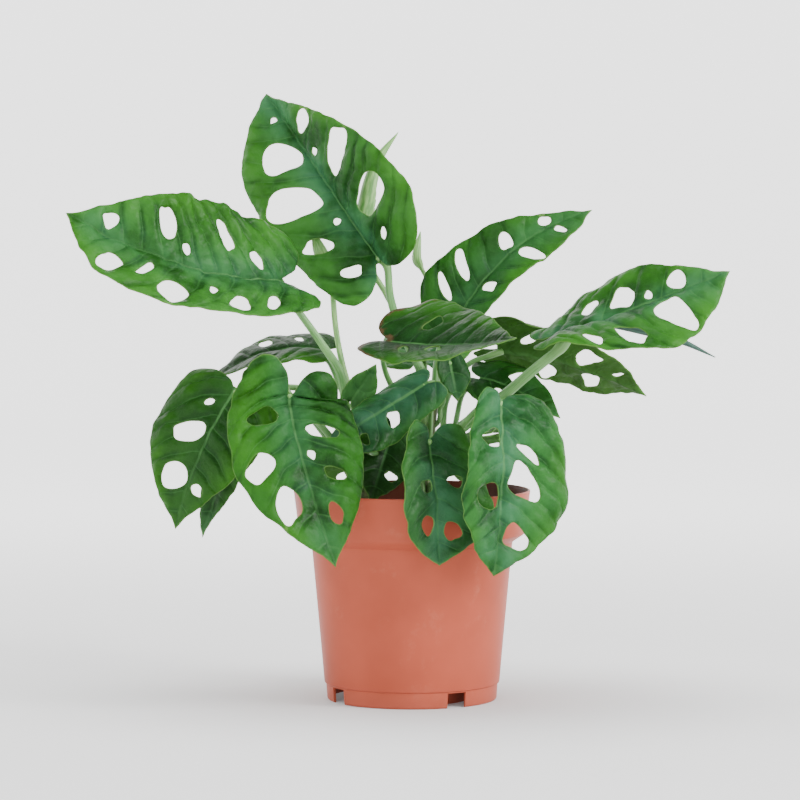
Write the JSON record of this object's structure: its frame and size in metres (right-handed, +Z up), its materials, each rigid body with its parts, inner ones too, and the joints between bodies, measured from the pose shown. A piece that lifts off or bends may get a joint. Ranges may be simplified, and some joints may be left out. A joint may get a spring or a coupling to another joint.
{
  "type": "potted monstera adansonii",
  "caption": "Monstera adansonii with holed, drip-tipped leaves on arching stalks, in a small terracotta-coloured plastic nursery pot with a tall rim band",
  "frame": {"origin": "centre of the pot's base, in the plane that the foot ring and the middle of the floor stand on", "axes": "+Z up, -Y towards the viewer of the picture, +X to the viewer's right"},
  "size_m": [0.3295, 0.2364, 0.3094],
  "materials": {
    "pot_plastic": "moulded terracotta-coloured polypropylene, satin",
    "soil": null,
    "vine": null,
    "blade": null,
    "stalk": null,
    "new_leaf": null
  },
  "bodies": {
    "root": {"pot": "pot_plastic", "soil": "soil", "stem_middle": "vine", "stem_left": "vine", "stem_front": "vine", "stem_back": "vine", "leaf_upper_left": "blade", "leaf_crown": "blade", "leaf_upper_right": "blade", "leaf_right": "blade", "leaf_centre": "blade", "leaf_lower_right": "blade", "leaf_right_low": "blade", "leaf_front_right": "blade", "leaf_front_centre": "blade", "leaf_front_left": "blade", "leaf_left_low": "blade", "leaf_left_back": "blade", "leaf_left_hanging": "blade", "leaf_middle": "blade", "leaf_small": "blade", "leaf_small_dark": "blade", "leaf_inner": "blade", "leaf_back_left": "blade", "leaf_back_right": "blade", "leaf_back_high": "blade", "stalk_upper_left": "stalk", "stalk_crown": "stalk", "stalk_upper_right": "stalk", "stalk_right": "stalk", "stalk_centre": "stalk", "stalk_lower_right": "stalk", "stalk_right_low": "stalk", "stalk_front_right": "stalk", "stalk_front_centre": "stalk", "stalk_front_left": "stalk", "stalk_left_low": "stalk", "stalk_left_back": "stalk", "stalk_left_hanging": "stalk", "stalk_middle": "stalk", "stalk_small": "stalk", "stalk_small_dark": "stalk", "stalk_inner": "stalk", "stalk_back_left": "stalk", "stalk_back_right": "stalk", "stalk_back_high": "stalk", "bud_crown": "new_leaf", "bud_left": "new_leaf", "bud_right": "new_leaf", "bud_back": "new_leaf"}
  },
  "joints": []
}
